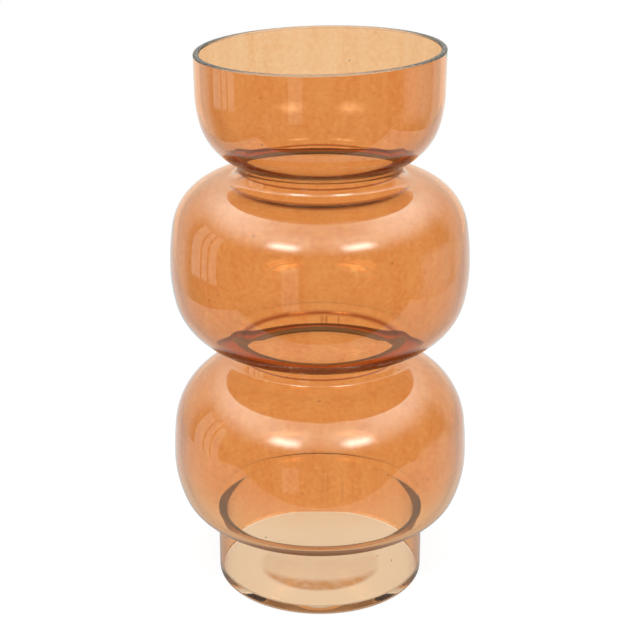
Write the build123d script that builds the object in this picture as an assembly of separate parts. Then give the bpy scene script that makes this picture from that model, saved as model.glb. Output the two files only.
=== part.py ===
from build123d import *
import os
from dataclasses import dataclass
from math import acos, asin, atan, atan2, cos, degrees, dist, radians, sin, sqrt, tan

# A gourd-shaped glass vase: a low foot, two flattened bulbs and an open cup, stacked on one axis.
# All sizes are in millimetres. The table is at z = 0 and the axis of the vase is Z.
# The wall is drawn in section: the first coordinate is the distance from the axis, the second the height.
# Each half of a bulb is a wide belly arc from its equator, then a tighter shoulder arc that turns level.

# Whole height, and the share of it that each section takes; the straight wall of the cup takes the rest
height = 290.0
foot_share = 0.1331
lower_bulb_under_share = 0.1186
lower_bulb_over_share = 0.1759
lower_neck_share = 0.0417
middle_bulb_under_share = 0.1476
middle_bulb_over_share = 0.1555
upper_neck_share = 0.0248
cup_bowl_share = 0.1324

# Glass thickness: the wall is even, and a little thicker where it was drawn in at the foot and at the necks
wall = 3.0
foot_neck_wall = 4.0
lower_neck_wall = 3.6
upper_neck_wall = 3.2
floor_thickness = 4.0

# Foot; its outside meets the bulb in a small hollow, its inside in a rounder ridge
foot_radius = 55.8
foot_hollow = 3.0
foot_ridge = 8.0
heel_round = 2.5
floor_corner = 2.0
punt_radius = 31.0
punt_depth = 1.5

# Lower bulb
lower_bulb_radius = 78.7
lower_bulb_under_belly = 58.0
lower_bulb_under_shoulder = 20.5
lower_bulb_over_belly = 153.6
lower_bulb_over_shoulder = 37.1

# Middle bulb
middle_bulb_radius = 77.8
middle_bulb_under_belly = 81.4
middle_bulb_under_shoulder = 32.3
middle_bulb_over_belly = 128.9
middle_bulb_over_shoulder = 28.5

# Waists: between the two bulbs, and under the cup
lower_neck_radius = 43.0
upper_neck_radius = 42.3

# Cup: a bowl under a straight wall that leans outwards by the flare, in degrees
cup_belly = 64.2
cup_shoulder = 30.3
cup_flare = 0.63
cup_rim_radius = 63.1

# Rim: the ground lip, cut a little higher on its +X side
rim_height = 6.0
rim_slant = 2.8
lip_round = 1.2

# Heights of the sections, and of the widest circles from the table up
foot_height = height * foot_share
lower_bulb_under_rise = height * lower_bulb_under_share
lower_bulb_over_rise = height * lower_bulb_over_share
lower_neck_gap = height * lower_neck_share
middle_bulb_under_rise = height * middle_bulb_under_share
middle_bulb_over_rise = height * middle_bulb_over_share
upper_neck_gap = height * upper_neck_share
cup_bowl_rise = height * cup_bowl_share
lower_bulb_level = foot_height + lower_bulb_under_rise
middle_bulb_level = lower_bulb_level + lower_bulb_over_rise + lower_neck_gap + middle_bulb_under_rise
cup_wall_base = middle_bulb_level + middle_bulb_over_rise + upper_neck_gap + cup_bowl_rise
base_top = floor_thickness + floor_corner
rim_base = height - rim_height

full_turn = 360


def on_circle(centre, radius, angle):
    """Point of the section at an angle, in degrees, counted from outwards towards up."""
    turn = radians(angle)
    return (centre[0] + radius * cos(turn), centre[1] + radius * sin(turn))


def bearing(start, end):
    """Angle of the line from one point of the section to another, from 0 up to a full turn."""
    return degrees(atan2(end[1] - start[1], end[0] - start[0])) % full_turn


def arc(centre, radius, first, last):
    """Arc of the section from one angle to another."""
    middle = (first + last) / 2
    return ThreePointArc(*(on_circle(centre, radius, angle) for angle in (first, middle, last)))


@dataclass
class HalfBulb:
    """Outside of half a bulb: the belly arc leaves the equator, the shoulder arc carries on to level."""
    belly_centre: tuple
    belly: float
    shoulder_centre: tuple
    shoulder: float
    sweep: float
    lean: float


def half_bulb(radius, level, rise, belly, shoulder, side, lean=0.0):
    """Half bulb above (side 1) or below (side -1) its level; lean is the tilt of the wall it starts from."""
    slack = belly - shoulder
    sweep = degrees(asin((rise - shoulder + belly * sin(radians(lean))) / slack))
    belly_centre = on_circle((radius, level), -belly, side * lean)
    shoulder_centre = on_circle(belly_centre, slack, side * sweep)
    return HalfBulb(belly_centre, belly, shoulder_centre, shoulder, sweep, lean)


def over_half(half, inset, last):
    """Upper half of a bulb, from its equator up to an angle on the shoulder, set in by the wall."""
    return [
        arc(half.belly_centre, half.belly - inset, half.lean, half.sweep),
        arc(half.shoulder_centre, half.shoulder - inset, half.sweep, last),
    ]


def under_half(half, inset, first):
    """Lower half of a bulb, from an angle on the shoulder up to its equator, set in by the wall."""
    middle = full_turn - half.sweep
    return [
        arc(half.shoulder_centre, half.shoulder - inset, first, middle),
        arc(half.belly_centre, half.belly - inset, middle, full_turn - half.lean),
    ]


@dataclass
class Hollow:
    """Circle that rounds a waist between two shoulders."""
    centre: tuple
    radius: float


def waist(below, above, inset, radius):
    """Circle that touches the shoulder below and the one above, and comes in as far as the waist radius."""
    radius_below = below.shoulder - inset
    radius_above = above.shoulder - inset
    offset_below = radius - below.shoulder_centre[0]
    offset_above = radius - above.shoulder_centre[0]
    overhang_below = radius_below - offset_below
    overhang_above = radius_above - offset_above
    chord_below = radius_below**2 - offset_below**2
    chord_above = radius_above**2 - offset_above**2
    span = above.shoulder_centre[1] - below.shoulder_centre[1]
    share = overhang_below * (span**2 - chord_above) + overhang_above * chord_below
    lever = overhang_below * span
    rise = share / (lever + sqrt(lever**2 + (overhang_above - overhang_below) * share))
    hollow = (rise**2 - chord_below) / (2 * overhang_below)
    return Hollow((radius + hollow, below.shoulder_centre[1] + rise), hollow)


def waist_arc(hollow, below, above):
    """Curve of a waist from the shoulder below it to the one above."""
    first = bearing(hollow.centre, below.shoulder_centre)
    last = bearing(hollow.centre, above.shoulder_centre)
    return [arc(hollow.centre, hollow.radius, first, last)]


def turned(edges):
    """Solid turned about the axis from the closed outline of its section."""
    return revolve(Plane.XZ * make_face(edges), Axis.Z)


def ring(outside, inside):
    """Ring of glass between its outside and inside curves, each listed from the bottom up."""
    bottom_seam = Line(inside[0] @ 0, outside[0] @ 0)
    top_seam = Line(inside[-1] @ 1, outside[-1] @ 1)
    return turned([bottom_seam, *outside, top_seam, *inside])


lower_under = half_bulb(
    lower_bulb_radius, lower_bulb_level, lower_bulb_under_rise,
    lower_bulb_under_belly, lower_bulb_under_shoulder, -1,
)
lower_over = half_bulb(
    lower_bulb_radius, lower_bulb_level, lower_bulb_over_rise,
    lower_bulb_over_belly, lower_bulb_over_shoulder, 1,
)
middle_under = half_bulb(
    middle_bulb_radius, middle_bulb_level, middle_bulb_under_rise,
    middle_bulb_under_belly, middle_bulb_under_shoulder, -1,
)
middle_over = half_bulb(
    middle_bulb_radius, middle_bulb_level, middle_bulb_over_rise,
    middle_bulb_over_belly, middle_bulb_over_shoulder, 1,
)
cup_wall_base_radius = cup_rim_radius - (height - cup_wall_base) * tan(radians(cup_flare))
cup_under = half_bulb(
    cup_wall_base_radius, cup_wall_base, cup_bowl_rise, cup_belly, cup_shoulder, -1, cup_flare,
)

# Outside and inside circles of the two waists
lower_waists = [
    waist(lower_over, middle_under, 0, lower_neck_radius),
    waist(lower_over, middle_under, wall, lower_neck_radius - lower_neck_wall),
]
upper_waists = [
    waist(middle_over, cup_under, 0, upper_neck_radius),
    waist(middle_over, cup_under, wall, upper_neck_radius - upper_neck_wall),
]
insets = [0, wall]


@dataclass
class FootRound:
    """Circle between the foot and the lower bulb, where it ends, and where the bulb's shoulder starts."""
    centre: tuple
    radius: float
    last: float
    bulb_first: float


def foot_round(narrowest, radius, inset):
    """Round that comes in to a narrowest radius and touches the bulb's shoulder, or the level below it."""
    crown_radius, crown_height = lower_under.shoulder_centre
    across = narrowest + radius
    touch = min(crown_radius, across)
    reach = lower_under.shoulder - inset + radius
    centre = (across, crown_height - sqrt(reach**2 - (across - touch) ** 2))
    last = bearing(centre, (touch, crown_height))
    bulb_first = bearing(lower_under.shoulder_centre, (max(crown_radius, across), centre[1]))
    return FootRound(centre, radius, last, bulb_first)


# Outside hollow and inside ridge of the foot
foot_rounds = [
    foot_round(foot_radius, foot_hollow, 0),
    foot_round(foot_radius - foot_neck_wall, foot_ridge, wall),
]


def base():
    """Floor of the vase with its rounded heel and the shallow punt pressed up into it."""
    dome = (punt_radius**2 + punt_depth**2) / (2 * punt_depth)
    dome_edge = degrees(acos(punt_radius / dome))
    dome_centre = punt_depth - dome
    inner_radius = foot_radius - wall
    underside = arc((0, dome_centre), dome, 90, dome_edge)
    heel = arc((foot_radius - heel_round, heel_round), heel_round, 270, full_turn)
    upper_side = arc((0, dome_centre + floor_thickness), dome, 90, dome_edge)
    corner = arc((inner_radius - floor_corner, base_top), floor_corner, full_turn, 270)
    return turned([
        underside,
        Line(underside @ 1, heel @ 0),
        heel,
        Line(heel @ 1, (foot_radius, base_top)),
        Line((foot_radius, base_top), corner @ 0),
        corner,
        Line(corner @ 1, upper_side @ 1),
        upper_side,
        Line(upper_side @ 0, underside @ 0),
    ])


def foot():
    """Wall of the foot, straight up to the round that carries it into the lower bulb."""
    curves = []
    for inset, turn in zip(insets, foot_rounds):
        start = (foot_radius - inset, base_top)
        first = bearing(turn.centre, start) - degrees(acos(turn.radius / dist(turn.centre, start)))
        carry = arc(turn.centre, turn.radius, first, turn.last)
        curves.append([Line(start, carry @ 0), carry])
    return ring(*curves)


def lower_bulb():
    """Flattened bulb on the foot; a level ring joins it to a foot that is narrower than its crown."""
    curves = []
    for inset, turn, hollow in zip(insets, foot_rounds, lower_waists):
        under = under_half(lower_under, inset, turn.bulb_first)
        if turn.centre[0] < lower_under.shoulder_centre[0]:
            under.insert(0, Line(on_circle(turn.centre, turn.radius, turn.last), under[0] @ 0))
        over = over_half(lower_over, inset, bearing(lower_over.shoulder_centre, hollow.centre))
        curves.append(under + over)
    return ring(*curves)


def lower_neck():
    """Waist between the lower and the middle bulb."""
    return ring(*(waist_arc(hollow, lower_over, middle_under) for hollow in lower_waists))


def middle_bulb():
    """Flattened bulb between the two necks."""
    curves = []
    for inset, below, above in zip(insets, lower_waists, upper_waists):
        under = under_half(middle_under, inset, bearing(middle_under.shoulder_centre, below.centre))
        over = over_half(middle_over, inset, bearing(middle_over.shoulder_centre, above.centre))
        curves.append(under + over)
    return ring(*curves)


def upper_neck():
    """Waist between the middle bulb and the cup."""
    return ring(*(waist_arc(hollow, middle_over, cup_under) for hollow in upper_waists))


def cup_wall_point(inset, level):
    """Point of the cup's leaning wall at a height."""
    lean = radians(cup_flare)
    return (cup_rim_radius - (height - level) * tan(lean) - inset / cos(lean), level)


def cup():
    """Open bowl and its wall, up to the ground lip."""
    curves = []
    for inset, hollow in zip(insets, upper_waists):
        bowl = under_half(cup_under, inset, bearing(cup_under.shoulder_centre, hollow.centre))
        curves.append([*bowl, Line(bowl[-1] @ 1, cup_wall_point(inset, rim_base))])
    return ring(*curves)


def rim():
    """Lip of the cup, cut on a slant and ground round on both edges."""
    blank_top = height + rim_slant
    sides = [[Line(cup_wall_point(inset, rim_base), cup_wall_point(inset, blank_top))] for inset in insets]
    lip = ring(*sides)
    slant = atan(rim_slant / (2 * cup_rim_radius))
    cut = Plane(origin=(0, 0, height), z_dir=(-sin(slant), 0, cos(slant)))
    lip = split(lip, bisect_by=cut, keep=Keep.BOTTOM)
    return fillet(lip.faces().sort_by(Axis.Z)[-1].edges(), lip_round)


os.makedirs("parts", exist_ok=True)
for make in (base, foot, lower_bulb, lower_neck, middle_bulb, upper_neck, cup, rim):
    export_step(make(), f"parts/{make.__name__}.step")
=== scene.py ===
from dataclasses import dataclass
from math import acos, asin, atan2, ceil, cos, degrees, dist, pi, radians, sin, sqrt, tan

import bmesh
import bpy
from bpy.props import FloatProperty, FloatVectorProperty, IntProperty, PointerProperty
from mathutils import Matrix, Vector


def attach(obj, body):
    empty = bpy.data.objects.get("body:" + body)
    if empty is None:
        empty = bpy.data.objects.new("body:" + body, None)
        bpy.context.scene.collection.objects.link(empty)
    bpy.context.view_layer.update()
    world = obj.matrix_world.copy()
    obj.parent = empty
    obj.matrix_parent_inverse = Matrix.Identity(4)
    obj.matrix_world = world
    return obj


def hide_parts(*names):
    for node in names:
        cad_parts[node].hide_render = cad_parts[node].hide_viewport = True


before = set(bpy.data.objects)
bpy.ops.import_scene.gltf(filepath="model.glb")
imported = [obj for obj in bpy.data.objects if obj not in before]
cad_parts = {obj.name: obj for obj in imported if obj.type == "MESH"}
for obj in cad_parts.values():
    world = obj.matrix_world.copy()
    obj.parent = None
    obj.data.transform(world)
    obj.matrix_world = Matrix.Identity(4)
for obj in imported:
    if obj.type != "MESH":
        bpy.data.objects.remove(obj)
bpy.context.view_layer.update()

bl_info = {
    "name": "Gourd Vase",
    "version": (1, 0, 0),
    "blender": (4, 5, 0),
    "location": "View3D > Sidebar > Vase",
    "description": "Builds a gourd vase of clear glass with an amber lacquer, on a white table",
    "category": "Add Mesh",
}

# How finely the glass is turned: steps and equal sectors round the axis, degrees between two rings of
# an arc, and how close two points are that become one
TURN_STEPS = 256
SECTORS = 16
ARC_STEP = 2.0
WELD = 1e-6

# Order of the finishes on each piece
LACQUER, BARE, SEAM, GROUND, UNDER = range(5)

# Degrees up the outer round of the lip where the coat ends, and round the heel where it starts
LIP_COAT = 20.0
HEEL_COAT = 340.0

# In the finishes, a scale says how close a noise lies, and a pair where something starts and is full.
# Waves of the blown wall, and marks of handling
WAVE_SCALE = 18.0
MARK_SCALE = 38.0
MARKS = (0.45, 0.75)

# The sprayed coat is upright streaks times mottle, with specks of dust in it
STREAK_SCALE = 110.0
STREAK_STRETCH = (1.0, 1.0, 0.08)
MOTTLE_SCALE = 420.0
THICKNESS = (0.12, 0.42)
DUST_SCALE = 70.0
DUST_SIZE = 0.04

# The coat is paler low on the front, towards the camera: heights, and places along Y
PALE_FRONT_HEIGHTS = (0.08, 0.06)
PALE_FRONT_DEPTHS = (0.0, -0.03)

# Painted shade, as a line behind the lower neck: how far over the crease it lies, how much wider it is, and
# how far behind the axis the line in front has given way to it
BACK_LINE = 0.0033
BACK_LINE_WIDTH = 2.2
BACK_START = 0.01

# Dark runs at the back, in the painted shade colour: radians round from the back to their middle, and half
# their span
RUN_TURN = 0.16
RUN_SPAN = 0.3
RUN_SCALE = 18.0
RUNS = (0.5, 0.62)

# Painted dark reflection: a crescent on the shoulder before the upper neck, outside a circle round the axis
# and inside one
# further forward: how far up and down it reaches, how soft its edges are, and how strong it is
CRESCENT_RADIUS = 0.047
CRESCENT_FORWARD = 0.01
CRESCENT_EDGE = 0.045
CRESCENT_DEPTH = 0.004
CRESCENT_SOFT = 0.0007
CRESCENT_STRENGTH = 0.85

# Painted shade under the floor, in patches: how strong it is outside and inside them
SHADE_PATCH_SCALE = 160.0
SHADE_PATCHES = (0.3, 0.55)
SHADE_PATCH_STRENGTH = (0.7, 1.0)

# Circles that shape the painted shade: how far back each centre lies, where the shade starts and is
# full, in radii of the punt, and how much there is before. The first is its edge, the second leaves a
# crescent at the front, and the third fades it out behind
PUNT_SHADE_CIRCLES = ((0.0, 1.08, 0.98, 0.0), (0.022, 1.34, 1.48, 0.35), (0.06, 1.5, 2.0, 0.0))

# Grains of the ground lip: how dull the glass is outside and inside them, and their depth
GRAIN_SCALE = 1500.0
GRAINS = (0.3, 0.7)
GRAIN_DULLNESS = (0.25, 0.6)
GRAIN_DEPTH = 0.0002

# The white table reaches further back than towards the camera, and lies just under the foot; its grey,
# and how far from the axis the shade of the foot is full and ends
TABLE_LOW = (-0.42, -0.235)
TABLE_HIGH = (0.55, 0.9)
TABLE_DROP = 0.0003
TABLE_GREY = 0.3
SHADE = (0.06, 0.2)

# Softboxes, seen from the vase: degrees to the side of the camera, degrees up, distance and size
SOFTBOX_SIDE = 37.0
SOFTBOX_UP = 42.0
SOFTBOX_AWAY = 1.6
SOFTBOX_SIZE = (1.1, 0.68)
VASE_MIDDLE = Vector((0.0, 0.0, 0.16))

# What the glass mirrors of the studio: each panel's name, what PANEL_SIZES lists in degrees, strength
PANEL_SIZES = ("Panel Side", "Panel Up", "Half Width", "Half Height", "Softness")
PANELS = (
    ("softbox glow", -37.0, 46.0, 27.0, 14.0, 14.0, 2.5),
    ("softbox glow", 37.0, 46.0, 27.0, 14.0, 14.0, 2.5),
    ("softbox lamp", -32.5, 39.5, 12.5, 4.0, 7.0, 18.0),
    ("softbox lamp", 35.0, 39.5, 12.5, 4.0, 7.0, 18.0),
    ("window", -97.5, 4.5, 14.5, 19.5, 0.8, 1.2),
    ("window bar", -92.0, 4.5, 0.9, 19.5, 0.3, -1.2),
    ("window bar", -100.0, 4.5, 0.9, 19.5, 0.3, -1.2),
    ("doorway", -22.0, -9.0, 6.5, 11.0, 0.8, 0.9),
    ("pale wall", 98.0, -11.0, 17.0, 9.0, 6.0, 1.0),
    ("side ceiling", -120.0, 50.0, 52.0, 18.0, 16.0, 2.6),
    ("side ceiling", 120.0, 50.0, 52.0, 18.0, 16.0, 2.6),
)

# The lamps as the vase's far side mirrors them, soft as the wavy wall leaves them
FAR_LAMPS = (
    ("far lamp", -37.0, 42.0, 12.0, 6.0, 13.0, 11.0),
    ("far lamp", 37.0, 42.0, 12.0, 6.0, 13.0, 11.0),
)

# Levels of the room, and how far back or up a direction points where the backdrop and the ceiling start
# and are full, and where the backdrop ends at its top
ROOM_DARK = 0.1
WITHIN_DARK = 0.3
BACKDROP_WHITE = 1.0
CEILING_WHITE = 2.8
WHITE = (1.0, 1.0, 1.0)
BACKDROP_SPAN = (0.35, 0.6)
CEILING_SPAN = (0.4, 0.85)
BACKDROP_TOP = (0.3, 0.5)

# Light is counted in whole times. Past the first of these it has gone through or off a face at least
# once; past the second it has crossed the vase, and finds only a share of the studio
ONCE = 0.5
DEEP = 2.5
DEEP_SHARE = 0.016


def mm(value, name, description):
    """Length property with its default given in millimetres."""
    return FloatProperty(
        name=name, description=description, default=value / 1000, min=0.0, unit="LENGTH", subtype="DISTANCE"
    )


def share(value, name, description):
    """Property from nothing to the whole."""
    return FloatProperty(
        name=name, description=description, default=value, min=0.0, max=1.0, precision=4, subtype="FACTOR"
    )


def tilt(value, name, description):
    """Angle property with its default given in degrees."""
    return FloatProperty(name=name, description=description, default=radians(value), subtype="ANGLE")


def strength(value, name, description, unit="NONE"):
    """Property that is nothing or more."""
    return FloatProperty(name=name, description=description, default=value, min=0.0, unit=unit)


def colour(value, name, description):
    """Colour property."""
    return FloatVectorProperty(
        name=name, description=description, default=value, min=0.0, max=1.0, size=3, subtype="COLOR"
    )


class VaseSizes(bpy.types.PropertyGroup):
    """Sizes of the glass, in section. Each share is a share of the height."""
    height: mm(290.0, "Height", "From the table to the middle of the slanted lip")
    foot_share: share(0.1331, "Foot", "From the table to the underside of the lower bulb")
    lower_bulb_under_share: share(0.1186, "Lower Bulb, Under", "From its underside to its widest circle")
    lower_bulb_over_share: share(0.1759, "Lower Bulb, Over", "From its widest circle to its level top")
    lower_neck_share: share(0.0417, "Lower Neck", "Between the two bulbs' level circles")
    middle_bulb_under_share: share(0.1476, "Middle Bulb, Under", "From its underside to its widest circle")
    middle_bulb_over_share: share(0.1555, "Middle Bulb, Over", "From its widest circle to its level top")
    upper_neck_share: share(0.0248, "Upper Neck", "Between the bulb's and the cup's level circles")
    cup_bowl_share: share(0.1324, "Cup Bowl", "From the cup's underside to its straight wall")
    wall: mm(3.0, "Wall", "Thickness of the blown wall")
    foot_neck_wall: mm(4.0, "Foot Neck Wall", "Thickness where the foot meets the lower bulb")
    lower_neck_wall: mm(3.6, "Lower Neck Wall", "Thickness at the waist between the bulbs")
    upper_neck_wall: mm(3.2, "Upper Neck Wall", "Thickness at the waist under the cup")
    floor_thickness: mm(4.0, "Floor", "Thickness of the floor")
    foot_radius: mm(55.8, "Foot Radius", "Outside of the foot")
    foot_hollow: mm(3.0, "Foot Hollow", "Round outside, between the foot and the lower bulb")
    foot_ridge: mm(8.0, "Foot Ridge", "Round inside, between the foot and the lower bulb")
    heel_round: mm(2.5, "Heel Round", "Round where the foot meets the table")
    floor_corner: mm(2.0, "Floor Corner", "Round between the floor and the wall, inside")
    punt_radius: mm(31.0, "Punt Radius", "Edge of the dome pressed up into the floor")
    punt_depth: mm(1.5, "Punt Depth", "Height of the dome pressed up into the floor")
    lower_bulb_radius: mm(78.7, "Lower Bulb Radius", "Outside of the lower bulb at its widest")
    lower_bulb_under_belly: mm(58.0, "Lower Bulb Under Belly", "Wide arc below the widest circle")
    lower_bulb_under_shoulder: mm(20.5, "Lower Bulb Under Shoulder", "Tight arc at the underside")
    lower_bulb_over_belly: mm(153.6, "Lower Bulb Over Belly", "Wide arc above the widest circle")
    lower_bulb_over_shoulder: mm(37.1, "Lower Bulb Over Shoulder", "Tight arc at the top")
    lower_neck_radius: mm(43.0, "Lower Neck Radius", "Outside of the waist between the bulbs")
    middle_bulb_radius: mm(77.8, "Middle Bulb Radius", "Outside of the middle bulb at its widest")
    middle_bulb_under_belly: mm(81.4, "Middle Bulb Under Belly", "Wide arc below the widest circle")
    middle_bulb_under_shoulder: mm(32.3, "Middle Bulb Under Shoulder", "Tight arc at the underside")
    middle_bulb_over_belly: mm(128.9, "Middle Bulb Over Belly", "Wide arc above the widest circle")
    middle_bulb_over_shoulder: mm(28.5, "Middle Bulb Over Shoulder", "Tight arc at the top")
    upper_neck_radius: mm(42.3, "Upper Neck Radius", "Outside of the waist under the cup")
    cup_belly: mm(64.2, "Cup Belly", "Wide arc under the straight wall")
    cup_shoulder: mm(30.3, "Cup Shoulder", "Tight arc at the underside of the cup")
    cup_rim_radius: mm(63.1, "Cup Rim Radius", "Outside of the cup at its lip")
    rim_height: mm(6.0, "Rim Height", "Stretch of the wall that counts as the rim")
    rim_slant: mm(2.8, "Rim Slant", "How much higher the lip is on its +X side")
    lip_round: mm(1.2, "Lip Round", "Round ground on both edges of the lip")
    cup_flare: tilt(0.63, "Cup Flare", "Lean of the cup's straight wall")


class VaseFinish(bpy.types.PropertyGroup):
    """Colours and surface of the glass."""
    lacquer: colour((0.87, 0.345, 0.098), "Lacquer", "Amber of the coat where it is even")
    # Paler amber low on the front, towards the camera
    lacquer_thick: colour((0.77, 0.228, 0.048), "Lacquer, Thick", "Amber of the coat where it lies thicker")
    lacquer_pale_front: colour((0.94, 0.47, 0.19), "Lacquer, Thin", "Amber of the coat low on the front")
    # Painted shade: dark amber of the lines in the necks' creases, of the runs at the back, and of the
    # painted dark crescent before the upper neck
    painted_shade: colour((0.22, 0.02, 0.002), "Lacquer, Pooled", "Amber of the coat that settled in the creases")
    crease_shade_width: mm(0.9, "Pool Width", "Half the width of the line of coat in each crease")
    run_length: mm(6.0, "Run Length", "Half the height of the runs behind the lower neck")
    foot_run_length: mm(15.0, "Foot Run Length", "Half the height of the runs behind the foot")
    run_strength: share(0.9, "Run Strength", "How thick the lower neck's runs are, beside the lines")
    foot_run_strength: share(0.25, "Foot Run Strength", "How thick the foot's runs are, beside the lines")
    speck: colour((0.30, 0.10, 0.03), "Specks", "Dust caught in the coat")
    glass: colour((0.995, 0.99, 0.98), "Bare Glass", "Colour of the glass without lacquer")
    # Painted shade under the floor, strongest in a crescent at the front of the punt
    punt_shade: colour((0.46, 0.19, 0.05), "Overspray", "Coat that drifted under the floor")
    ground: colour((0.78, 0.70, 0.68), "Ground Lip", "Colour of the ground edge of the lip")
    waviness: mm(0.06, "Waviness", "Depth of the slow waves that blowing leaves in the wall")
    index: FloatProperty(
        name="Refraction", description="Index of refraction of the glass", default=1.5, min=1.0, max=2.0
    )


class VaseStage(bpy.types.PropertyGroup):
    """Camera, light and table."""
    camera_place: FloatVectorProperty(
        name="Camera Place", description="Where the camera stands", subtype="TRANSLATION", size=3,
        default=(0.0, -0.7705, 0.442),
    )
    camera_pitch: tilt(21.02, "Camera Pitch", "How far the camera looks down")
    camera_lens: FloatProperty(
        name="Lens", description="Focal length in millimetres", default=87.9, min=1.0
    )
    table_white: strength(0.78, "Table White", "How bright the table is by itself, to a viewer")
    table_behind: strength(1.0, "Table Behind Glass", "How bright the table is behind glass")
    table_mirrored: strength(1.0, "Table Mirrored", "How bright the table is in the outside of the glass")
    table_shaded: strength(0.45, "Table Shaded", "How bright it is mirrored, in the shade of the foot")
    table_inner: strength(0.7, "Table Mirrored Within", "How bright the table is inside the front wall")
    table_tint: colour((0.86, 0.98, 1.0), "Table Tint", "Colour of the table in the outside of the glass")
    room_tint: colour((0.92, 1.0, 0.92), "Room Tint", "Colour of the studio in the outside of the glass")
    inner_light: strength(0.25, "Inner Light", "Even light that is left for the far side of the vase")
    softbox_power: strength(16.0, "Softbox Power", "Power of each softbox", "POWER")
    room_light: strength(0.5, "Room Light", "Even light from all round")
    bounces: IntProperty(
        name="Bounces", description="How often light is followed on inside the glass", default=32, min=1
    )


@dataclass
class HalfBulb:
    """Outside of half a bulb: the belly arc leaves the equator, the shoulder arc carries on to level."""
    belly_centre: tuple
    belly: float
    shoulder_centre: tuple
    shoulder: float
    sweep: float
    lean: float


@dataclass
class Hollow:
    """Circle that rounds a waist."""
    centre: tuple
    radius: float


@dataclass
class FootRound(Hollow):
    """Circle between the foot and the lower bulb, where it ends, and where the bulb's shoulder starts."""
    last: float
    bulb_first: float


def on_circle(centre, radius, angle):
    """Point of the section at an angle, in degrees, counted from outwards towards up."""
    turn = radians(angle)
    return (centre[0] + radius * cos(turn), centre[1] + radius * sin(turn))


def bearing(start, end):
    """Angle of the line from one point of the section to another, 0 to 360 degrees."""
    return degrees(atan2(end[1] - start[1], end[0] - start[0])) % 360


def half_bulb(radius, level, rise, belly, shoulder, side, lean=0.0):
    """Half bulb above (side 1) or below (side -1) its level; lean tilts the wall it starts from."""
    slack = belly - shoulder
    sweep = degrees(asin((rise - shoulder + belly * sin(radians(lean))) / slack))
    belly_centre = on_circle((radius, level), -belly, side * lean)
    shoulder_centre = on_circle(belly_centre, slack, side * sweep)
    return HalfBulb(belly_centre, belly, shoulder_centre, shoulder, sweep, lean)


def waist(below, above, inset, radius):
    """Circle that touches the shoulders below and above, and comes in as far as the waist radius."""
    radius_below = below.shoulder - inset
    radius_above = above.shoulder - inset
    offset_below = radius - below.shoulder_centre[0]
    offset_above = radius - above.shoulder_centre[0]
    overhang_below = radius_below - offset_below
    overhang_above = radius_above - offset_above
    chord_below = radius_below**2 - offset_below**2
    chord_above = radius_above**2 - offset_above**2
    span = above.shoulder_centre[1] - below.shoulder_centre[1]
    weight = overhang_below * (span**2 - chord_above) + overhang_above * chord_below
    lever = overhang_below * span
    rise = weight / (lever + sqrt(lever**2 + (overhang_above - overhang_below) * weight))
    hollow = (rise**2 - chord_below) / (2 * overhang_below)
    return Hollow((radius + hollow, below.shoulder_centre[1] + rise), hollow)


def foot_round(bulb, narrowest, radius, inset):
    """Round that comes in to a narrowest radius and touches the bulb's shoulder, or the level below it."""
    crown_radius, crown_height = bulb.shoulder_centre
    across = narrowest + radius
    touch = min(crown_radius, across)
    reach = bulb.shoulder - inset + radius
    centre = (across, crown_height - sqrt(reach**2 - (across - touch) ** 2))
    last = bearing(centre, (touch, crown_height))
    bulb_first = bearing(bulb.shoulder_centre, (max(crown_radius, across), centre[1]))
    return FootRound(centre, radius, last, bulb_first)


class Section:
    """The vase in section: the circles and levels that its curves are drawn from."""

    def __init__(self, sizes):
        self.sizes = s = sizes
        self.insets = (0.0, s.wall)
        self.height = s.height
        self.rim_base = s.height - s.rim_height
        self.base_top = s.floor_thickness + s.floor_corner
        lower_under_rise = s.height * s.lower_bulb_under_share
        lower_over_rise = s.height * s.lower_bulb_over_share
        middle_under_rise = s.height * s.middle_bulb_under_share
        middle_over_rise = s.height * s.middle_bulb_over_share
        bowl_rise = s.height * s.cup_bowl_share
        lower_level = s.height * s.foot_share + lower_under_rise
        middle_level = lower_level + lower_over_rise + s.height * s.lower_neck_share + middle_under_rise
        cup_level = middle_level + middle_over_rise + s.height * s.upper_neck_share + bowl_rise
        self.lower_under = half_bulb(
            s.lower_bulb_radius, lower_level, lower_under_rise,
            s.lower_bulb_under_belly, s.lower_bulb_under_shoulder, -1,
        )
        self.lower_over = half_bulb(
            s.lower_bulb_radius, lower_level, lower_over_rise,
            s.lower_bulb_over_belly, s.lower_bulb_over_shoulder, 1,
        )
        self.middle_under = half_bulb(
            s.middle_bulb_radius, middle_level, middle_under_rise,
            s.middle_bulb_under_belly, s.middle_bulb_under_shoulder, -1,
        )
        self.middle_over = half_bulb(
            s.middle_bulb_radius, middle_level, middle_over_rise,
            s.middle_bulb_over_belly, s.middle_bulb_over_shoulder, 1,
        )
        cup_radius = s.cup_rim_radius - (s.height - cup_level) * tan(s.cup_flare)
        self.cup_under = half_bulb(
            cup_radius, cup_level, bowl_rise, s.cup_belly, s.cup_shoulder, -1, degrees(s.cup_flare)
        )
        self.lower_waists = [
            waist(self.lower_over, self.middle_under, 0.0, s.lower_neck_radius),
            waist(self.lower_over, self.middle_under, s.wall, s.lower_neck_radius - s.lower_neck_wall),
        ]
        self.upper_waists = [
            waist(self.middle_over, self.cup_under, 0.0, s.upper_neck_radius),
            waist(self.middle_over, self.cup_under, s.wall, s.upper_neck_radius - s.upper_neck_wall),
        ]
        self.foot_rounds = [
            foot_round(self.lower_under, s.foot_radius, s.foot_hollow, 0.0),
            foot_round(self.lower_under, s.foot_radius - s.foot_neck_wall, s.foot_ridge, s.wall),
        ]

    def cup_wall_point(self, inset, level):
        """Point of the cup's leaning wall at a height."""
        lean = self.sizes.cup_flare
        return (self.sizes.cup_rim_radius - (self.height - level) * tan(lean) - inset / cos(lean), level)


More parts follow.
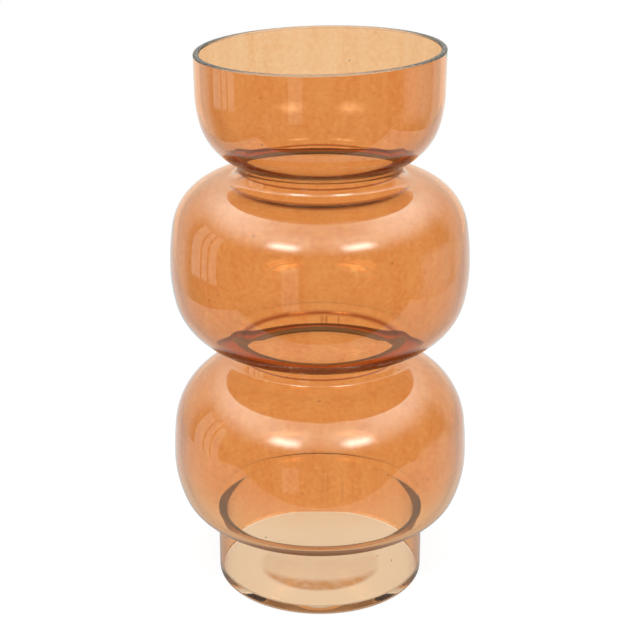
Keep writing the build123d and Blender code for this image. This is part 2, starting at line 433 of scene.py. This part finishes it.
class Glass:
    """One piece of glass: strokes of its section are drawn and turned about the axis, finish by finish."""

    def __init__(self):
        self.bm = bmesh.new()
        self.start = None
        self.end = None

    def stroke_from(self, point):
        """First vertex of a stroke, at a point of the section."""
        if self.start is None:
            self.start = point
        return self.bm.verts.new((point[0], 0.0, point[1]))

    def line(self, start, end):
        """Straight stroke."""
        first = self.stroke_from(start)
        made = bmesh.ops.extrude_vert_indiv(self.bm, verts=[first])
        bmesh.ops.translate(
            self.bm, verts=made["verts"], vec=(end[0] - start[0], 0.0, end[1] - start[1])
        )
        self.end = end

    def arc(self, centre, radius, first, last):
        """Round stroke: its first vertex is spun about the centre of the arc."""
        vertex = self.stroke_from(on_circle(centre, radius, first))
        bmesh.ops.spin(
            self.bm, geom=[vertex], cent=(centre[0], 0.0, centre[1]), axis=(0.0, -1.0, 0.0),
            angle=radians(last - first), steps=ceil(abs(last - first) / ARC_STEP),
        )
        self.end = on_circle(centre, radius, last)

    def turn(self, finish):
        """Turns the strokes drawn since the last turn about the axis, and returns the curve's two ends."""
        for face in self.bm.faces:
            face.tag = True
        fresh = [edge for edge in self.bm.edges if not edge.link_faces]
        corners = list({vertex for edge in fresh for vertex in edge.verts})
        sector = 2 * pi / SECTORS
        axis = {"cent": (0.0, 0.0, 0.0), "axis": (0.0, 0.0, 1.0)}
        bmesh.ops.spin(self.bm, geom=corners + fresh, angle=sector, steps=TURN_STEPS // SECTORS, **axis)
        turned = [face for face in self.bm.faces if not face.tag]
        for face in turned:
            face.material_index = finish
            face.smooth = True
        bmesh.ops.spin(
            self.bm, geom=turned, angle=2 * pi - sector, steps=SECTORS - 1, use_duplicate=True, **axis
        )
        ends = (self.start, self.end)
        self.start = None
        return ends

    def seam(self, one, other):
        """Face where this piece is fused to the next."""
        self.line(one, other)
        self.turn(SEAM)

    def close(self):
        """Welds the curves to each other and turns all faces outwards."""
        bmesh.ops.remove_doubles(self.bm, verts=self.bm.verts, dist=WELD)
        bmesh.ops.recalc_face_normals(self.bm, faces=self.bm.faces)
        for edge in self.bm.edges:
            finishes = {face.material_index for face in edge.link_faces}
            if SEAM in finishes and len(finishes) > 1:
                edge.smooth = False

    def piece(self, node, slot):
        """Object of this glass, in place of its solid."""
        self.close()
        mesh = bpy.data.meshes.new(f"glass_{node}")
        self.bm.to_mesh(mesh)
        self.bm.free()
        for name, dress in FINISHES:
            mesh.materials.append(material(name, dress))
        made = stand(mesh.name, mesh)
        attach(made, "root")
        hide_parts(node)


def draw_under(glass, half, inset, first):
    """Lower half of a bulb, from an angle on the shoulder up to its equator."""
    glass.arc(half.shoulder_centre, half.shoulder - inset, first, 360 - half.sweep)
    glass.arc(half.belly_centre, half.belly - inset, 360 - half.sweep, 360 - half.lean)


def draw_over(glass, half, inset, hollow):
    """Upper half of a bulb, from its equator up to where the waist's circle touches the shoulder."""
    last = bearing(half.shoulder_centre, hollow.centre)
    glass.arc(half.belly_centre, half.belly - inset, half.lean, half.sweep)
    glass.arc(half.shoulder_centre, half.shoulder - inset, half.sweep, last)


def turned_ring(draw):
    """Ring of glass from its outside and inside curves, fused to its neighbours at both ends."""
    glass = Glass()
    ends = []
    for side, finish in enumerate((LACQUER, BARE)):
        draw(glass, side)
        ends.append(glass.turn(finish))
    outside, inside = ends
    for one, other in zip(outside, inside):
        glass.seam(one, other)
    return glass


def stand(name, data):
    """New object in the scene."""
    made = bpy.data.objects.new(name, data)
    bpy.context.scene.collection.objects.link(made)
    return made


def material(name, dress):
    """Material of a name, made when it is first asked for."""
    made = bpy.data.materials.get(name)
    if made is None:
        made = bpy.data.materials.new(name)
        made.use_nodes = True
        made.node_tree.nodes.clear()
        dress(made.node_tree)
    return made


def node_group(name, inputs, outputs, dress):
    """Node group of a name, made when it is first asked for."""
    group = bpy.data.node_groups.get(name)
    if group is None:
        group = bpy.data.node_groups.new(name, "ShaderNodeTree")
        for label, default in inputs.items():
            socket = group.interface.new_socket(label, in_out="INPUT", socket_type="NodeSocketFloat")
            socket.default_value = default
        for label in outputs:
            group.interface.new_socket(label, in_out="OUTPUT", socket_type="NodeSocketFloat")
        given = group.nodes.new("NodeGroupInput")
        result = group.nodes.new("NodeGroupOutput")
        dress(group, given.outputs, result.inputs)
    return group


def add(tree, kind, group=None, **inputs):
    """Node of a tree, or a group placed in it, with plain inputs; underscores stand for spaces."""
    node = tree.nodes.new(kind)
    if group:
        node.node_tree = group
    for name, value in inputs.items():
        node.inputs[name.replace("_", " ")].default_value = value
    return node


def feed(tree, socket, value):
    """Gives a socket a plain number, or links an output to it."""
    if isinstance(value, float):
        socket.default_value = value
    else:
        tree.links.new(value, socket)


def worked(tree, operation, *values):
    """Result of a math operation on outputs and plain numbers."""
    node = tree.nodes.new("ShaderNodeMath")
    node.operation = operation
    for socket, value in zip(node.inputs, values):
        feed(tree, socket, value)
    return node.outputs["Value"]


def ramp(tree, value, first, last, low=0.0, high=1.0, ease="LINEAR"):
    """Level that goes from low to high as a value goes from first to last."""
    node = tree.nodes.new("ShaderNodeMapRange")
    node.interpolation_type = ease
    levels = {"Value": value, "From Min": first, "From Max": last, "To Min": low, "To Max": high}
    for name, level in levels.items():
        feed(tree, node.inputs[name], level)
    return node.outputs["Result"]


def noise(tree, place, scale, **inputs):
    """Level of a noise over a place."""
    node = add(tree, "ShaderNodeTexNoise", **inputs)
    tree.links.new(place, node.inputs["Vector"])
    feed(tree, node.inputs["Scale"], scale)
    return node.outputs["Fac"]


def colour_mix(tree, factor, first, second):
    """Mix of two colours, each plain or an output."""
    node = tree.nodes.new("ShaderNodeMix")
    node.data_type = "RGBA"
    tree.links.new(factor, node.inputs["Factor"])
    for name, tint in (("A", first), ("B", second)):
        if isinstance(tint, bpy.types.NodeSocket):
            tree.links.new(tint, node.inputs[name])
        else:
            node.inputs[name].default_value = (*tint, 1.0)
    return node.outputs["Result"]


def object_place(tree):
    """Place on the piece, in the piece's own coordinates."""
    return tree.nodes.new("ShaderNodeTexCoord").outputs["Object"]


def from_axis(tree, place, back=0.0):
    """Distance in plan from a point that lies some way behind the axis."""
    shifted = add(tree, "ShaderNodeMapping", Location=(0.0, -back, 0.0), Scale=(1.0, 1.0, 0.0))
    away = tree.nodes.new("ShaderNodeVectorMath")
    away.operation = "LENGTH"
    tree.links.new(place, shifted.inputs["Vector"])
    tree.links.new(shifted.outputs["Vector"], away.inputs["Vector"])
    return away.outputs["Value"]


def blown_surface(group, given, result):
    """Slow waves of a blown wall, and the faint handling marks on it."""
    place = object_place(group)
    waves = noise(group, place, given["Wave Scale"], Detail=1.0, Roughness=0.4)
    marks = noise(group, place, MARK_SCALE, Detail=4.0, Roughness=0.6)
    group.links.new(waves, result["Height"])
    group.links.new(ramp(group, marks, *MARKS, given["Clean"], given["Smudged"]), result["Roughness"])


def soft_band(group, given, result):
    """Mask that is full at one level and fades to nothing a width away."""
    away = worked(group, "ABSOLUTE", worked(group, "SUBTRACT", given["Place"], given["Level"]))
    group.links.new(ramp(group, away, 0.0, given["Width"], 1.0, 0.0, "SMOOTHSTEP"), result["Mask"])


def band(tree, place, level, width):
    """Mask round a level of a place, faded out over a width."""
    group = node_group("Soft Band", {"Place": 0.0, "Level": 0.0, "Width": 0.0}, ("Mask",), soft_band)
    node = add(tree, "ShaderNodeGroup", group, Level=level, Width=width)
    tree.links.new(place, node.inputs["Place"])
    return node.outputs["Mask"]


def glass_shader(tree, finish, height, depth, roughness):
    """Principled glass whose surface goes up and down to a depth, and is rough by places."""
    shader = add(tree, "ShaderNodeBsdfPrincipled", Transmission_Weight=1.0, IOR=finish.index)
    bump = add(tree, "ShaderNodeBump", Strength=1.0, Distance=depth)
    output = tree.nodes.new("ShaderNodeOutputMaterial")
    tree.links.new(height, bump.inputs["Height"])
    tree.links.new(roughness, shader.inputs["Roughness"])
    tree.links.new(bump.outputs["Normal"], shader.inputs["Normal"])
    tree.links.new(shader.outputs["BSDF"], output.inputs["Surface"])
    return shader


def blown_glass(tree, finish, clean, smudged):
    """Principled glass with the waves and marks of the blown surface."""
    inputs = {"Wave Scale": WAVE_SCALE, "Clean": 0.0, "Smudged": 0.0}
    group = node_group("Blown Surface", inputs, ("Height", "Roughness"), blown_surface)
    surface = add(tree, "ShaderNodeGroup", group, Clean=clean, Smudged=smudged).outputs
    return glass_shader(tree, finish, surface["Height"], finish.waviness, surface["Roughness"])


def painted_shade_lines(tree, parts, finish, section):
    """Mask of painted shade: lines in the necks' creases, and runs down the back."""
    lower, upper = (waists[0].centre[1] for waists in (section.lower_waists, section.upper_waists))
    foot = section.foot_rounds[0].centre[1] - finish.foot_run_length
    turn = worked(tree, "ARCTAN2", parts.outputs["X"], parts.outputs["Y"])
    drips = add(tree, "ShaderNodeTexNoise", Scale=RUN_SCALE, Detail=1.0)
    drips.noise_dimensions = "1D"
    tree.links.new(turn, drips.inputs["W"])
    span = band(tree, turn, RUN_TURN, RUN_SPAN)
    runs, faint_runs = (
        worked(tree, "MULTIPLY", ramp(tree, drips.outputs["Fac"], *RUNS, high=thickness), span)
        for thickness in (finish.run_strength, finish.foot_run_strength)
    )
    behind = ramp(tree, parts.outputs["Y"], -BACK_START, BACK_START)
    before = ramp(tree, parts.outputs["Y"], BACK_START, -BACK_START)
    total = band(tree, parts.outputs["Z"], upper, finish.crease_shade_width)
    lines = (
        (lower, finish.crease_shade_width, before),
        (lower + BACK_LINE, finish.crease_shade_width * BACK_LINE_WIDTH, behind),
        (lower, finish.run_length, runs),
        (foot, finish.foot_run_length, faint_runs),
    )
    for level, width, within in lines:
        line = worked(tree, "MULTIPLY", band(tree, parts.outputs["Z"], level, width), within)
        total = worked(tree, "MAXIMUM", total, line)
    return total


def painted_dark_crescent(tree, place, parts, section):
    """Mask of a painted dark reflection: a crescent before the upper neck, on the level top of the
    shoulder.
    """
    shoulder = section.middle_over
    level = shoulder.shoulder_centre[1] + shoulder.shoulder
    outside = ramp(tree, from_axis(tree, place), CRESCENT_RADIUS - CRESCENT_SOFT, CRESCENT_RADIUS + CRESCENT_SOFT)
    reach = from_axis(tree, place, -CRESCENT_FORWARD)
    front = ramp(tree, reach, CRESCENT_EDGE + CRESCENT_SOFT, CRESCENT_EDGE - CRESCENT_SOFT, high=CRESCENT_STRENGTH)
    crescent = worked(tree, "MULTIPLY", outside, front)
    return worked(tree, "MULTIPLY", crescent, band(tree, parts.outputs["Z"], level, CRESCENT_DEPTH))


def lacquered_glass(tree):
    """Outside of the vase: clear glass under a sprayed amber coat, a little uneven, with a few specks;
    paler low on the front, with painted shade in the creases and runs and a painted dark reflection on the
    shoulder.
    """
    finish = bpy.context.scene.vase_finish
    section = Section(bpy.context.scene.vase_sizes)
    shader = blown_glass(tree, finish, clean=0.006, smudged=0.035)
    place = object_place(tree)
    parts = tree.nodes.new("ShaderNodeSeparateXYZ")
    stretch = add(tree, "ShaderNodeMapping", Scale=STREAK_STRETCH)
    dust = add(tree, "ShaderNodeTexVoronoi", Scale=DUST_SCALE, Randomness=1.0)
    for node in (parts, stretch, dust):
        tree.links.new(place, node.inputs["Vector"])
    streaks = noise(tree, stretch.outputs["Vector"], STREAK_SCALE, Detail=4.0, Roughness=0.6)
    mottle = noise(tree, place, MOTTLE_SCALE, Detail=3.0)
    thick = ramp(tree, worked(tree, "MULTIPLY", streaks, mottle), *THICKNESS)
    # Paler coat low on the front, towards the camera
    low = ramp(tree, parts.outputs["Z"], *PALE_FRONT_HEIGHTS)
    front = ramp(tree, parts.outputs["Y"], *PALE_FRONT_DEPTHS)
    specks = worked(tree, "LESS_THAN", dust.outputs["Distance"], DUST_SIZE)
    # Painted shade in the necks' creases and runs, and a painted dark reflection on the shoulder before the
    # upper neck
    lines = painted_shade_lines(tree, parts, finish, section)
    darkened = worked(tree, "MAXIMUM", lines, painted_dark_crescent(tree, place, parts, section))
    coat = colour_mix(tree, thick, finish.lacquer, finish.lacquer_thick)
    coat = colour_mix(tree, worked(tree, "MULTIPLY", low, front), coat, finish.lacquer_pale_front)
    coat = colour_mix(tree, specks, coat, finish.speck)
    coat = colour_mix(tree, darkened, coat, finish.painted_shade)
    tree.links.new(coat, shader.inputs["Base Color"])


def bare_glass(tree):
    """Inside of the vase: clear, fire-polished glass."""
    finish = bpy.context.scene.vase_finish
    shader = blown_glass(tree, finish, clean=0.0, smudged=0.02)
    shader.inputs["Base Color"].default_value = (*finish.glass, 1.0)


def underside_glass(tree):
    """Underside of the floor: bare glass, with painted shade in patches, strongest in a crescent at the
    front of the punt.
    """
    finish = bpy.context.scene.vase_finish
    edge = bpy.context.scene.vase_sizes.punt_radius
    shader = blown_glass(tree, finish, clean=0.0, smudged=0.05)
    place = object_place(tree)
    # Painted shade in patches, cut by circles to a crescent at the front of the punt
    punt_shade_mask = ramp(tree, noise(tree, place, SHADE_PATCH_SCALE, Detail=4.0, Roughness=0.7), *SHADE_PATCHES, *SHADE_PATCH_STRENGTH)
    for back, start, full, least in PUNT_SHADE_CIRCLES:
        circle = ramp(tree, from_axis(tree, place, back), start * edge, full * edge, least)
        punt_shade_mask = worked(tree, "MULTIPLY", punt_shade_mask, circle)
    tree.links.new(colour_mix(tree, punt_shade_mask, finish.glass, finish.punt_shade), shader.inputs["Base Color"])


def fused_seam(tree):
    """Face between two pieces of the one wall: the glass goes on, so nothing is seen there."""
    clear = tree.nodes.new("ShaderNodeBsdfTransparent")
    output = tree.nodes.new("ShaderNodeOutputMaterial")
    tree.links.new(clear.outputs["BSDF"], output.inputs["Surface"])


def ground_glass(tree):
    """Ground edge of the lip: dull and grey, with bright grains."""
    finish = bpy.context.scene.vase_finish
    grains = noise(tree, object_place(tree), GRAIN_SCALE, Detail=3.0, Roughness=0.7)
    dull = ramp(tree, grains, *GRAINS, *GRAIN_DULLNESS)
    shader = glass_shader(tree, finish, grains, GRAIN_DEPTH, dull)
    shader.inputs["Base Color"].default_value = (*finish.ground, 1.0)


# The finishes, in the order of their numbers
FINISHES = (
    ("Lacquered Glass", lacquered_glass),
    ("Bare Glass", bare_glass),
    ("Fused Seam", fused_seam),
    ("Ground Glass", ground_glass),
    ("Underside Glass", underside_glass),
)


class VASE_OT_base(bpy.types.Operator):
    """Floor of the vase, with its rounded heel and the shallow punt under it"""
    bl_idname = "vase.base"
    bl_label = "Base"

    def execute(self, context):
        s = context.scene.vase_sizes
        section = Section(s)
        dome = (s.punt_radius**2 + s.punt_depth**2) / (2 * s.punt_depth)
        dome_edge = 90 - degrees(asin(s.punt_radius / dome))
        inner_radius = s.foot_radius - s.wall
        glass = Glass()
        glass.arc((0.0, s.punt_depth - dome), dome, 90, dome_edge)
        heel = (s.foot_radius - s.heel_round, s.heel_round)
        glass.line((s.punt_radius, 0.0), (heel[0], 0.0))
        glass.arc(heel, s.heel_round, 270, HEEL_COAT)
        glass.turn(UNDER)
        glass.arc(heel, s.heel_round, HEEL_COAT, 360)
        glass.line((s.foot_radius, s.heel_round), (s.foot_radius, section.base_top))
        glass.turn(LACQUER)
        corner = (inner_radius - s.floor_corner, section.base_top)
        glass.arc(corner, s.floor_corner, 360, 270)
        glass.line((corner[0], s.floor_thickness), (s.punt_radius, s.floor_thickness))
        glass.arc((0.0, s.floor_thickness + s.punt_depth - dome), dome, dome_edge, 90)
        glass.turn(BARE)
        glass.seam((s.foot_radius, section.base_top), (inner_radius, section.base_top))
        glass.piece("base", "clear_glass")
        return {"FINISHED"}


class VASE_OT_foot(bpy.types.Operator):
    """Upright wall of the foot and the round that carries it into the lower bulb"""
    bl_idname = "vase.foot"
    bl_label = "Foot"

    def execute(self, context):
        s = context.scene.vase_sizes
        section = Section(s)

        def draw(glass, side):
            turn = section.foot_rounds[side]
            start = (s.foot_radius - section.insets[side], section.base_top)
            first = bearing(turn.centre, start) - degrees(acos(turn.radius / dist(turn.centre, start)))
            glass.line(start, on_circle(turn.centre, turn.radius, first))
            glass.arc(turn.centre, turn.radius, first, turn.last)

        turned_ring(draw).piece("foot", "amber_glass")
        return {"FINISHED"}


class VASE_OT_bulbs(bpy.types.Operator):
    """The two flattened bulbs"""
    bl_idname = "vase.bulbs"
    bl_label = "Bulbs"

    def execute(self, context):
        section = Section(context.scene.vase_sizes)

        def draw_lower(glass, side):
            inset = section.insets[side]
            half = section.lower_under
            turn = section.foot_rounds[side]
            if turn.centre[0] < half.shoulder_centre[0]:
                flat_end = on_circle(turn.centre, turn.radius, turn.last)
                bulb_start = on_circle(half.shoulder_centre, half.shoulder - inset, turn.bulb_first)
                glass.line(flat_end, bulb_start)
            draw_under(glass, half, inset, turn.bulb_first)
            draw_over(glass, section.lower_over, inset, section.lower_waists[side])

        def draw_middle(glass, side):
            inset = section.insets[side]
            first = bearing(section.middle_under.shoulder_centre, section.lower_waists[side].centre)
            draw_under(glass, section.middle_under, inset, first)
            draw_over(glass, section.middle_over, inset, section.upper_waists[side])

        turned_ring(draw_lower).piece("lower_bulb", "amber_glass")
        turned_ring(draw_middle).piece("middle_bulb", "amber_glass")
        return {"FINISHED"}


class VASE_OT_necks(bpy.types.Operator):
    """The waist between the bulbs and the one under the cup"""
    bl_idname = "vase.necks"
    bl_label = "Necks"

    def execute(self, context):
        section = Section(context.scene.vase_sizes)
        necks = (
            ("lower_neck", section.lower_waists, section.lower_over, section.middle_under),
            ("upper_neck", section.upper_waists, section.middle_over, section.cup_under),
        )
        for node, waists, below, above in necks:

            def draw(glass, side):
                hollow = waists[side]
                first = bearing(hollow.centre, below.shoulder_centre)
                last = bearing(hollow.centre, above.shoulder_centre)
                glass.arc(hollow.centre, hollow.radius, first, last)

            turned_ring(draw).piece(node, "amber_glass")
        return {"FINISHED"}


class VASE_OT_cup(bpy.types.Operator):
    """Open bowl and its wall, up to the ground lip"""
    bl_idname = "vase.cup"
    bl_label = "Cup"

    def execute(self, context):
        section = Section(context.scene.vase_sizes)
        half = section.cup_under

        def draw(glass, side):
            inset = section.insets[side]
            first = bearing(half.shoulder_centre, section.upper_waists[side].centre)
            draw_under(glass, half, inset, first)
            wall_start = on_circle(half.belly_centre, half.belly - inset, -half.lean)
            glass.line(wall_start, section.cup_wall_point(inset, section.rim_base))

        turned_ring(draw).piece("cup", "amber_glass")
        return {"FINISHED"}


class VASE_OT_rim(bpy.types.Operator):
    """Lip of the cup, cut on a slant and ground round on both edges"""
    bl_idname = "vase.rim"
    bl_label = "Rim"

    def execute(self, context):
        s = context.scene.vase_sizes
        section = Section(s)
        lean = degrees(s.cup_flare)
        lip_level = section.height - s.lip_round
        outer_base, inner_base = (
            section.cup_wall_point(inset, section.rim_base) for inset in section.insets
        )
        outer_lip = section.cup_wall_point(s.lip_round, lip_level)
        inner_lip = section.cup_wall_point(s.wall - s.lip_round, lip_level)
        outer_edge = on_circle(outer_lip, s.lip_round, -lean)
        inner_edge = on_circle(inner_lip, s.lip_round, 180 - lean)
        glass = Glass()
        glass.line(outer_base, outer_edge)
        glass.arc(outer_lip, s.lip_round, -lean, LIP_COAT)
        glass.turn(LACQUER)
        glass.line(inner_base, inner_edge)
        glass.turn(BARE)
        glass.arc(outer_lip, s.lip_round, LIP_COAT, 90)
        glass.line(on_circle(outer_lip, s.lip_round, 90), on_circle(inner_lip, s.lip_round, 90))
        glass.arc(inner_lip, s.lip_round, 90, 180 - lean)
        glass.turn(GROUND)
        glass.seam(outer_base, inner_base)
        slant = Matrix.Identity(4)
        slant[2][0] = s.rim_slant / (2 * s.cup_rim_radius)
        lip = [vertex for vertex in glass.bm.verts if vertex.co.z > section.rim_base + WELD]
        bmesh.ops.transform(glass.bm, matrix=slant, verts=lip)
        glass.piece("rim", "amber_glass")
        return {"FINISHED"}


class VASE_OT_stage(bpy.types.Operator):
    """White table, room, softboxes and camera"""
    bl_idname = "vase.stage"
    bl_label = "Stage"

    def execute(self, context):
        stage = context.scene.vase_stage
        make_table()
        make_room(stage)
        for side in (-1, 1):
            make_softbox(stage, side)
        make_camera(stage)
        paths = context.scene.cycles
        paths.max_bounces = paths.glossy_bounces = stage.bounces
        paths.transmission_bounces = paths.transparent_max_bounces = stage.bounces
        context.scene.view_settings.view_transform = "Standard"
        return {"FINISHED"}


def past(tree, depth, times=ONCE):
    """Whether light has gone more than so many times through what the depth counts."""
    path = tree.nodes.new("ShaderNodeLightPath")
    return worked(tree, "GREATER_THAN", path.outputs[depth], times)


def path_mix(tree, whether, never, once):
    """One of two levels, each a plain number or an output, by whether light has gone some way."""
    node = tree.nodes.new("ShaderNodeMix")
    tree.links.new(whether, node.inputs["Factor"])
    feed(tree, node.inputs["A"], never)
    feed(tree, node.inputs["B"], once)
    return node.outputs["Result"]


def mirrored_colour(tree, tint):
    """Colour of the studio: tinted where the outside of the glass mirrors it, white in all other light."""
    inner = colour_mix(tree, past(tree, "Transmission Depth"), tint, WHITE)
    return colour_mix(tree, past(tree, "Glossy Depth"), WHITE, inner)


def white_table(tree):
    """White table top: a viewer sees the shadow on it, and the glass sees it at set levels."""
    stage = bpy.context.scene.vase_stage
    path = tree.nodes.new("ShaderNodeLightPath")
    away = from_axis(tree, object_place(tree))
    shade = ramp(tree, away, *SHADE, stage.table_shaded, stage.table_mirrored)
    deep = past(tree, "Transmission Depth", DEEP)
    inner = path_mix(tree, deep, stage.table_inner, stage.inner_light)
    mirrored = path_mix(tree, past(tree, "Transmission Depth"), shade, inner)
    level = path_mix(tree, past(tree, "Glossy Depth"), stage.table_behind, mirrored)
    behind = tree.nodes.new("ShaderNodeEmission")
    bright = add(tree, "ShaderNodeEmission", Strength=stage.table_white)
    matt = add(tree, "ShaderNodeBsdfDiffuse", Color=(TABLE_GREY, TABLE_GREY, TABLE_GREY, 1.0))
    table_top = tree.nodes.new("ShaderNodeAddShader")
    seen = tree.nodes.new("ShaderNodeMixShader")
    output = tree.nodes.new("ShaderNodeOutputMaterial")
    link = tree.links.new
    link(mirrored_colour(tree, stage.table_tint), behind.inputs["Color"])
    link(level, behind.inputs["Strength"])
    link(bright.outputs["Emission"], table_top.inputs[0])
    link(matt.outputs["BSDF"], table_top.inputs[1])
    link(path.outputs["Is Camera Ray"], seen.inputs["Fac"])
    link(behind.outputs["Emission"], seen.inputs[1])
    link(table_top.outputs["Shader"], seen.inputs[2])
    link(seen.outputs["Shader"], output.inputs["Surface"])


def make_table():
    """White table under the vase."""
    bm = bmesh.new()
    bmesh.ops.create_grid(bm, x_segments=1, y_segments=1, size=0.5)
    size = [high - low for low, high in zip(TABLE_LOW, TABLE_HIGH)]
    middle = [(low + high) / 2 for low, high in zip(TABLE_LOW, TABLE_HIGH)]
    bmesh.ops.scale(bm, verts=bm.verts, vec=(*size, 1.0))
    bmesh.ops.translate(bm, verts=bm.verts, vec=(*middle, -TABLE_DROP))
    mesh = bpy.data.meshes.new("white_table")
    bm.to_mesh(mesh)
    bm.free()
    mesh.materials.append(material("White Table", white_table))
    table = stand("white_table", mesh)


def light_panel(group, given, result):
    """Soft-edged panel of the studio, by its directions from the vase, in degrees."""
    fades = []
    for way, middle, half in (("Side", "Panel Side", "Half Width"), ("Up", "Panel Up", "Half Height")):
        away = worked(group, "ABSOLUTE", worked(group, "SUBTRACT", given[way], given[middle]))
        near = worked(group, "SUBTRACT", given[half], given["Softness"])
        far = worked(group, "ADD", given[half], given["Softness"])
        fades.append(ramp(group, away, near, far, 1.0, 0.0, "SMOOTHSTEP"))
    group.links.new(worked(group, "MULTIPLY", *fades), result["Mask"])


def lit_panels(tree, side, up, total, panels):
    """Level of light with panels of the studio added to it."""
    inputs = dict.fromkeys(("Side", "Up", *PANEL_SIZES), 0.0)
    for label, *sizes, brightness in panels:
        panel = add(tree, "ShaderNodeGroup", node_group("Light Panel", inputs, ("Mask",), light_panel))
        panel.label = label
        for name, size in zip(PANEL_SIZES, sizes):
            panel.inputs[name].default_value = size
        tree.links.new(side, panel.inputs["Side"])
        tree.links.new(up, panel.inputs["Up"])
        total = worked(tree, "MULTIPLY_ADD", panel.outputs["Mask"], brightness, total)
    return total


def mirrored_studio(tree, stage):
    """What the glass mirrors: a dim room with lamps and a window, a pale ceiling and a white backdrop.

    The backdrop alone, up to its top edge, comes second, and what the vase's far side finds third.
    """
    place = tree.nodes.new("ShaderNodeTexCoord")
    parts = tree.nodes.new("ShaderNodeSeparateXYZ")
    tree.links.new(place.outputs["Generated"], parts.inputs["Vector"])
    across, back, rise = (parts.outputs[part] for part in "XYZ")
    front = worked(tree, "MULTIPLY", back, -1.0)
    side = worked(tree, "DEGREES", worked(tree, "ARCTAN2", across, front))
    up = worked(tree, "DEGREES", worked(tree, "ARCSINE", rise))
    backdrop = ramp(tree, back, *BACKDROP_SPAN, ROOM_DARK, BACKDROP_WHITE, "SMOOTHSTEP")
    ceiling = ramp(tree, rise, *CEILING_SPAN, ROOM_DARK, CEILING_WHITE, "SMOOTHSTEP")
    studio = lit_panels(tree, side, up, worked(tree, "MAXIMUM", backdrop, ceiling), PANELS)
    within = ramp(tree, back, *BACKDROP_SPAN, WITHIN_DARK, BACKDROP_WHITE)
    low = worked(tree, "MULTIPLY", within, ramp(tree, rise, *BACKDROP_TOP, 1.0, WITHIN_DARK))
    dimmed = worked(tree, "MULTIPLY_ADD", studio, DEEP_SHARE, stage.inner_light)
    return studio, low, lit_panels(tree, side, up, dimmed, FAR_LAMPS)


def make_room(stage):
    """White to a viewer, also through the glass; the glass mirrors the studio, the table is evenly lit."""
    world = bpy.data.worlds.new("Studio")
    world.use_nodes = True
    tree = world.node_tree
    tree.nodes.clear()
    studio, backdrop, far = mirrored_studio(tree, stage)
    inner = path_mix(tree, past(tree, "Transmission Depth", DEEP), backdrop, far)
    mirrored = path_mix(tree, past(tree, "Transmission Depth"), studio, inner)
    seen = path_mix(tree, past(tree, "Glossy Depth"), 1.0, mirrored)
    level = path_mix(tree, past(tree, "Diffuse Depth"), seen, stage.room_light)
    back = tree.nodes.new("ShaderNodeBackground")
    output = tree.nodes.new("ShaderNodeOutputWorld")
    tree.links.new(mirrored_colour(tree, stage.room_tint), back.inputs["Color"])
    tree.links.new(level, back.inputs["Strength"])
    tree.links.new(back.outputs["Background"], output.inputs["Surface"])
    bpy.context.scene.world = world


def make_softbox(stage, side):
    """Large soft lamp beside and above the camera; its images in the glass are panels of the room."""
    up = radians(SOFTBOX_UP)
    turn = radians(SOFTBOX_SIDE) * side
    towards = Vector((cos(up) * sin(turn), -cos(up) * cos(turn), sin(up)))
    lamp = bpy.data.lights.new(f"softbox_{'left' if side < 0 else 'right'}", "AREA")
    lamp.shape = "RECTANGLE"
    lamp.size, lamp.size_y = SOFTBOX_SIZE
    lamp.energy = stage.softbox_power
    made = stand(lamp.name, lamp)
    made.location = VASE_MIDDLE + towards * SOFTBOX_AWAY
    made.rotation_euler = towards.to_track_quat("Z", "Y").to_euler()
    made.visible_glossy = False
    made.visible_transmission = False


def make_camera(stage):
    """Camera at the photograph's viewing angle."""
    camera = bpy.data.cameras.new("camera")
    camera.lens = stage.camera_lens
    made = stand("camera", camera)
    made.location = stage.camera_place
    made.rotation_euler = (pi / 2 - stage.camera_pitch, 0.0, 0.0)
    bpy.context.scene.camera = made


MAKERS = (VASE_OT_base, VASE_OT_foot, VASE_OT_bulbs, VASE_OT_necks, VASE_OT_cup, VASE_OT_rim, VASE_OT_stage)


class VASE_PT_panel(bpy.types.Panel):
    """Sidebar panel with the vase's pieces, sizes, finish and stage"""
    bl_idname = "VASE_PT_panel"
    bl_label = "Gourd Vase"
    bl_space_type = "VIEW_3D"
    bl_region_type = "UI"
    bl_category = "Vase"

    def draw(self, context):
        for maker in MAKERS:
            self.layout.operator(maker.bl_idname)
        for group in (context.scene.vase_sizes, context.scene.vase_finish, context.scene.vase_stage):
            box = self.layout.box()
            for name in group.bl_rna.properties.keys():
                if name not in ("rna_type", "name"):
                    box.prop(group, name)


CLASSES = (VaseSizes, VaseFinish, VaseStage, *MAKERS, VASE_PT_panel)
GROUPS = {"vase_sizes": VaseSizes, "vase_finish": VaseFinish, "vase_stage": VaseStage}


def register():
    for each in CLASSES:
        bpy.utils.register_class(each)
    for name, group in GROUPS.items():
        setattr(bpy.types.Scene, name, PointerProperty(type=group))


def unregister():
    for name in GROUPS:
        delattr(bpy.types.Scene, name)
    for each in reversed(CLASSES):
        bpy.utils.unregister_class(each)


def main():
    register()
    for maker in MAKERS:
        family, call = maker.bl_idname.split(".")
        getattr(getattr(bpy.ops, family), call)()


if __name__ == "__main__":
    main()
